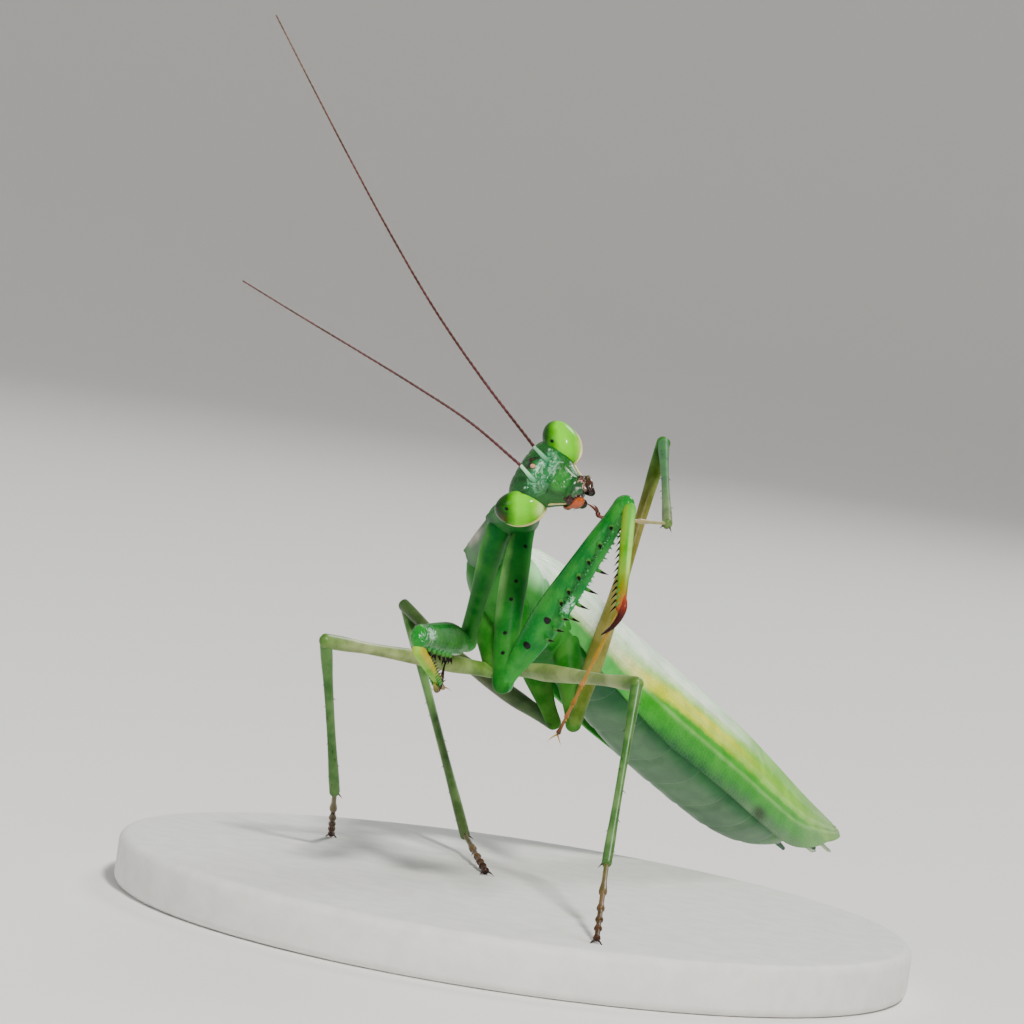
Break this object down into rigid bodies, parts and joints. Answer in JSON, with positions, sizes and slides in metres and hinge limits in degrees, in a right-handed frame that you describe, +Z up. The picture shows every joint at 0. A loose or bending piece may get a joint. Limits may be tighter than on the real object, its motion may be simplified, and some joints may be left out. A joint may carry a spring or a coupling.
{
  "type": "praying mantis model",
  "caption": "Life-size green praying mantis on a plain round base, grooming one raised hind foot at its mouth, forelegs folded and wings closed.",
  "frame": {"origin": "centre of the underside of the round base", "axes": "+Z up, the body faces -Y, the mantis's left side is +X"},
  "size_m": [0.048, 0.0643, 0.0518],
  "materials": {
    "stand": "satin off-white display disc",
    "head_green": "satin blue-green cuticle",
    "body_green": "satin green cuticle",
    "belly_green": "satin pale green cuticle, ringed",
    "foreleg_green": "glossy blue-green cuticle with dark spots",
    "foreleg_lime": "glossy lime to yellow cuticle",
    "leg_green": "satin pale green cuticle",
    "eye": "smooth glossy lime eye",
    "antenna": "fine reddish brown segments",
    "mouthparts": "brown and pinkish mouthparts",
    "wing": "pearly green wing membrane",
    "foot_amber": "amber foot",
    "foot_brown": "tan foot"
  },
  "bodies": {
    "root": {"stand_base": "stand", "head": "head_green", "eye_left": "eye", "eye_right": "eye", "palp_left": "mouthparts", "palp_right": "mouthparts", "antenna_left": "antenna", "antenna_right": "antenna", "prothorax": "body_green", "neck": "body_green", "thorax": "body_green", "abdomen": "belly_green", "cercus_left": "belly_green", "cercus_right": "belly_green", "tegmen_left": "wing", "tegmen_right": "wing", "hindwing_left": "wing", "hindwing_right": "wing", "fore_coxa_left": "foreleg_green", "fore_femur_left": "foreleg_green", "fore_tibia_left": "foreleg_lime", "fore_tarsus_left": "foot_amber", "fore_coxa_right": "foreleg_green", "fore_femur_right": "foreleg_green", "fore_tibia_right": "foreleg_lime", "fore_tarsus_right": "foot_amber", "mid_left_coxa": "body_green", "mid_left_femur": "leg_green", "mid_left_tibia": "leg_green", "mid_left_tarsus": "foot_brown", "mid_right_coxa": "body_green", "mid_right_femur": "leg_green", "mid_right_tibia": "leg_green", "mid_right_tarsus": "foot_brown", "hind_left_coxa": "body_green", "hind_left_femur": "leg_green", "hind_left_tibia": "leg_green", "hind_left_tarsus": "foot_brown", "hind_right_coxa": "body_green", "hind_right_femur": "leg_green", "hind_right_tibia": "leg_green", "hind_right_tarsus": "foot_brown"}
  },
  "joints": []
}
